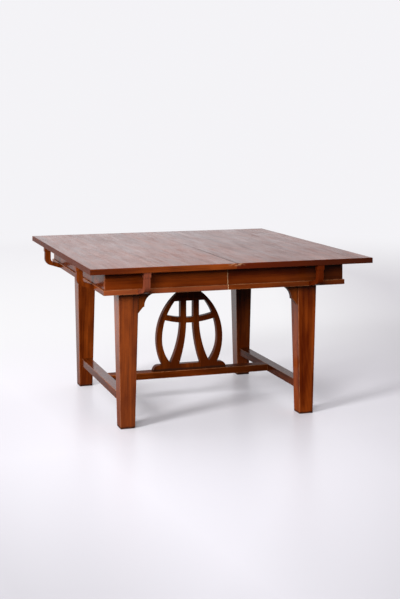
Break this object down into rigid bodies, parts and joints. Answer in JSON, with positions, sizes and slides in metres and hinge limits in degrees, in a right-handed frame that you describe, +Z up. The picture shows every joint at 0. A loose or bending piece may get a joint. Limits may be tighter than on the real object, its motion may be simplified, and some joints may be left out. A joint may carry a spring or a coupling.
{
  "type": "extending dining table",
  "caption": "Square extending dining table: tapered legs, stretchers, oval fretted splat, and a top whose halves slide apart on runners.",
  "frame": {"origin": "on the floor under the middle of the closed table", "axes": "+Z up, +X the way the right half pulls out, -Y the front seen in the picture"},
  "size_m": [1.33, 1.42, 0.76],
  "materials": {
    "top_mahogany": "French-polished red mahogany, high gloss, fine worn scratches",
    "apron_mahogany": "dark polished mahogany, semi-gloss",
    "trim_mahogany": "polished mahogany, semi-gloss, lighter where handled",
    "base_mahogany": "polished mahogany, semi-gloss, worn at the feet",
    "inner_wood": "unpolished planed wood",
    "screw_steel": "dull steel"
  },
  "bodies": {
    "base": {"leg_front_left": "base_mahogany", "leg_front_right": "base_mahogany", "leg_back_left": "base_mahogany", "leg_back_right": "base_mahogany", "frame_rail_front": "apron_mahogany", "frame_rail_back": "apron_mahogany", "frame_rail_left": "inner_wood", "frame_rail_right": "inner_wood", "guide_bar_front": "inner_wood", "guide_bar_back": "inner_wood", "spine": "inner_wood", "side_stretcher_left": "base_mahogany", "side_stretcher_right": "base_mahogany", "centre_stretcher": "base_mahogany", "fret_splat": "base_mahogany", "splat_screws": "screw_steel", "corbel_front_left": "base_mahogany", "corbel_front_right": "base_mahogany", "corbel_back_left": "base_mahogany", "corbel_back_right": "base_mahogany"},
    "left_half": {"top_panel_left": "top_mahogany", "apron_front_left": "apron_mahogany", "apron_back_left": "apron_mahogany", "apron_end_left": "apron_mahogany", "ledge_front_left": "trim_mahogany", "ledge_back_left": "trim_mahogany", "ledge_end_left": "trim_mahogany", "bracket_front_left": "trim_mahogany", "bracket_back_left": "trim_mahogany", "bracket_end_left_front": "trim_mahogany", "bracket_end_left_back": "trim_mahogany", "runner_front_left": "inner_wood", "runner_back_left": "inner_wood", "runner_stops_left": "inner_wood", "glue_blocks_left": "inner_wood", "runner_screws_left": "screw_steel", "bracket_screws_left": "screw_steel"},
    "right_half": {"top_panel_right": "top_mahogany", "apron_front_right": "apron_mahogany", "apron_back_right": "apron_mahogany", "apron_end_right": "apron_mahogany", "ledge_front_right": "trim_mahogany", "ledge_back_right": "trim_mahogany", "ledge_end_right": "trim_mahogany", "bracket_front_right": "trim_mahogany", "bracket_back_right": "trim_mahogany", "bracket_end_right_front": "trim_mahogany", "bracket_end_right_back": "trim_mahogany", "runner_front_right": "inner_wood", "runner_back_right": "inner_wood", "runner_stops_right": "inner_wood", "glue_blocks_right": "inner_wood", "runner_screws_right": "screw_steel", "bracket_screws_right": "screw_steel", "seam_pins": "inner_wood"}
  },
  "joints": [
    {"name": "left_pull", "type": "slide", "parent": "base", "child": "left_half", "axis": [-1, 0, 0], "range_m": [0, 0.3]},
    {"name": "right_pull", "type": "slide", "parent": "base", "child": "right_half", "axis": [1, 0, 0], "range_m": [0, 0.3]}
  ]
}
